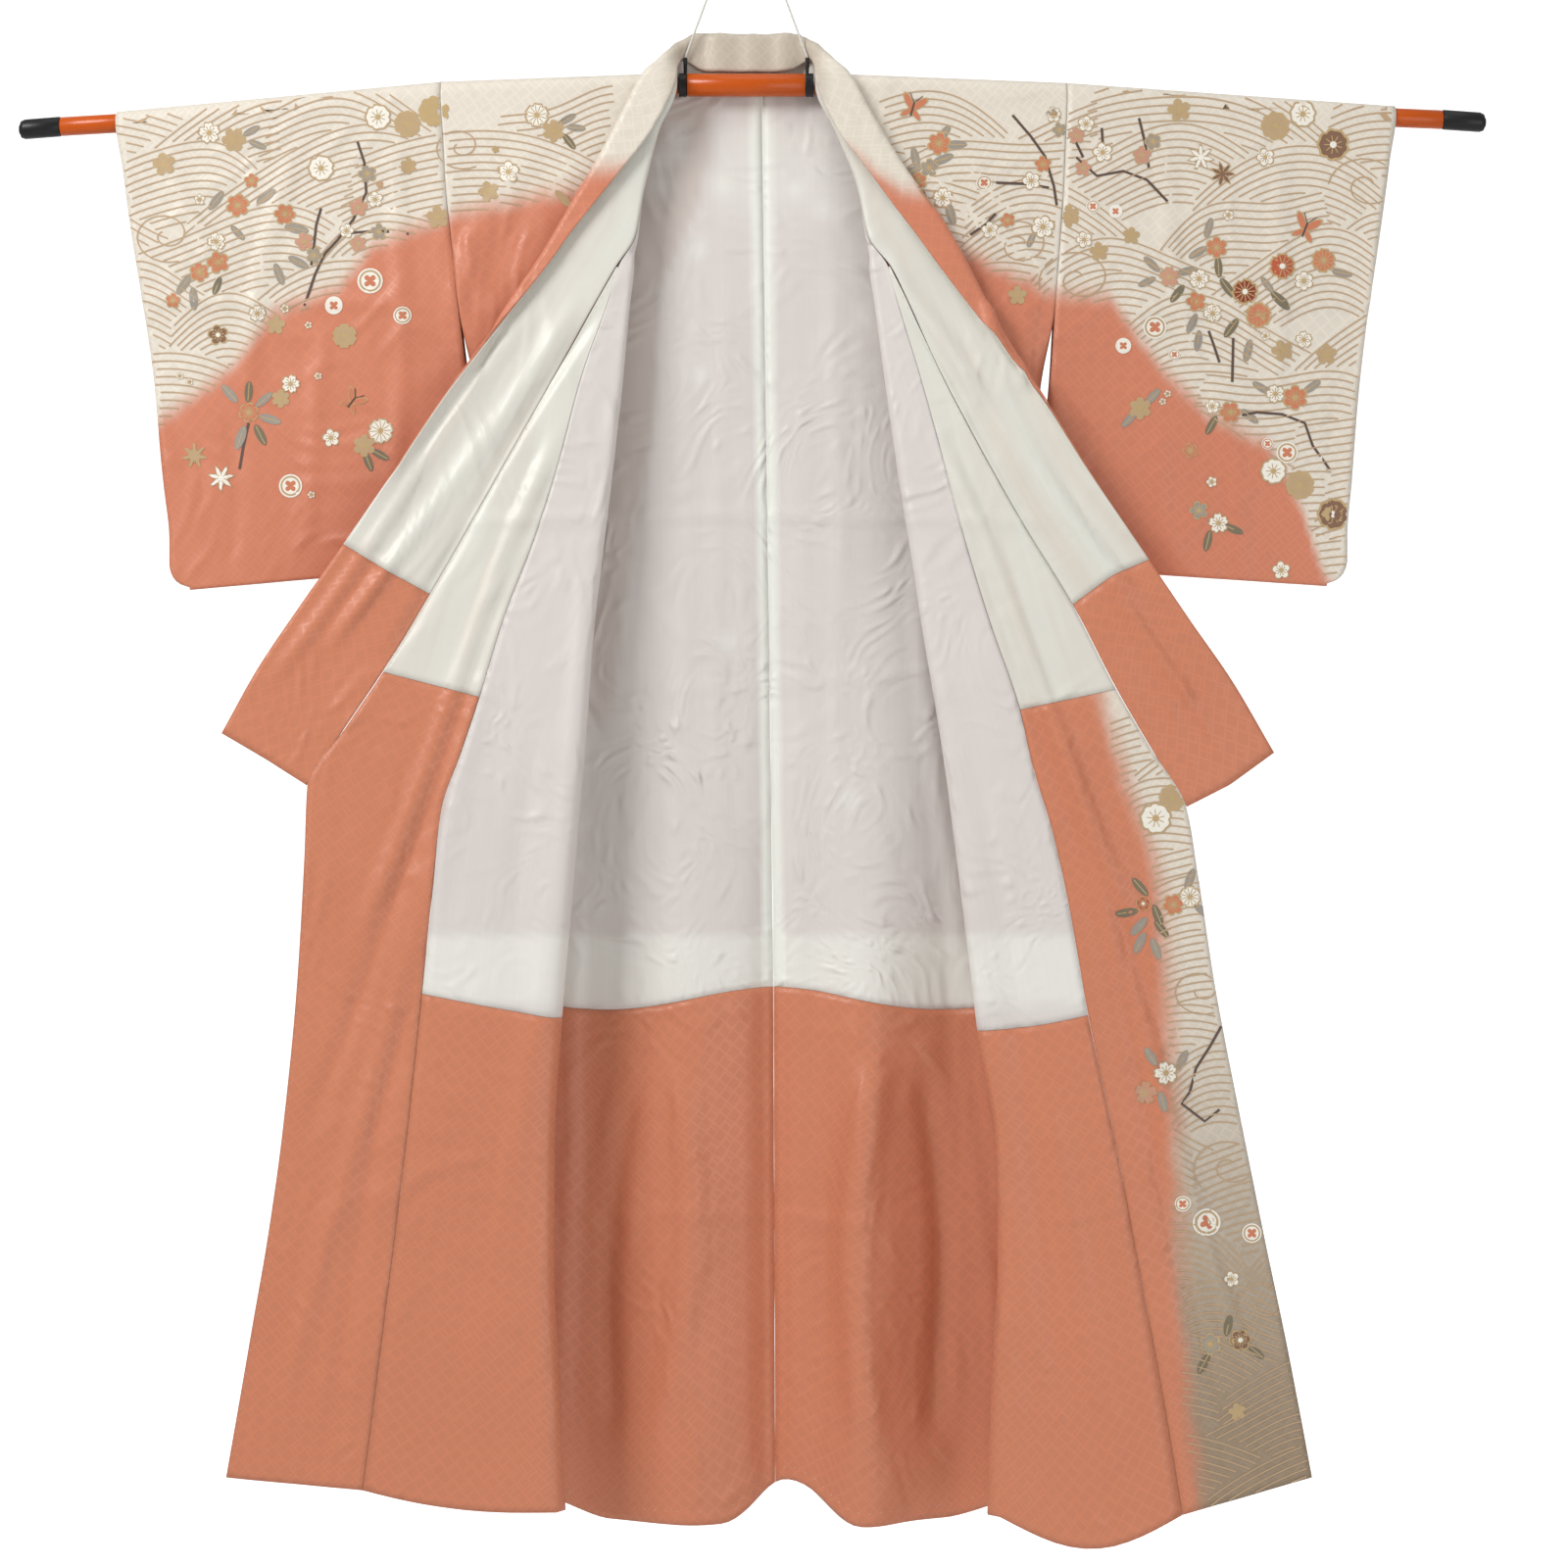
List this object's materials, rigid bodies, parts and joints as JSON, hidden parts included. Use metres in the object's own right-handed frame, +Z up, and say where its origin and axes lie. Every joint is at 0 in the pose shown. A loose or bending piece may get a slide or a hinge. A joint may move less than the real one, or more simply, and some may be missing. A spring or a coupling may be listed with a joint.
{
  "type": "silk kimono on a kimono hanger",
  "caption": "Lined silk kimono hung on a straight hanger, its fronts opened and its collar spread so that the lining shows, with wide sleeves to either side.",
  "frame": {"origin": "the point over the hanger where its cord hangs on a hook", "axes": "+Z up along the garment's height, +X to the viewer's right across the sleeves, +Y away from the viewer, through the garment's thickness"},
  "size_m": [1.5258, 0.1253, 1.6966],
  "materials": {
    "silk": "satin",
    "lining": "matte",
    "hem_lining": "satin",
    "hanger_orange": "gloss",
    "hanger_black": "gloss",
    "hanger_cord": "matte"
  },
  "bodies": {
    "root": {"body_left": "silk", "body_right": "silk", "lining_body_left": "lining", "lining_body_right": "lining", "hakkake_back_left": "hem_lining", "hakkake_back_right": "hem_lining", "hakkake_front_left": "hem_lining", "hakkake_front_right": "hem_lining", "okumi_left": "silk", "okumi_right": "silk", "lining_okumi_left": "lining", "lining_okumi_right": "lining", "hakkake_okumi_left": "hem_lining", "hakkake_okumi_right": "hem_lining", "sleeve_left": "silk", "sleeve_right": "silk", "collar": "silk", "lining_collar": "lining", "collar_tip_lining_left": "hem_lining", "collar_tip_lining_right": "hem_lining", "over_collar": "silk", "tube": "hanger_orange", "arm_left": "hanger_orange", "arm_right": "hanger_orange", "bracket_left": "hanger_black", "bracket_right": "hanger_black", "cord_post_left": "hanger_black", "cord_post_right": "hanger_black", "end_cap_left": "hanger_black", "end_cap_right": "hanger_black", "hang_cord": "hanger_cord"}
  },
  "joints": []
}
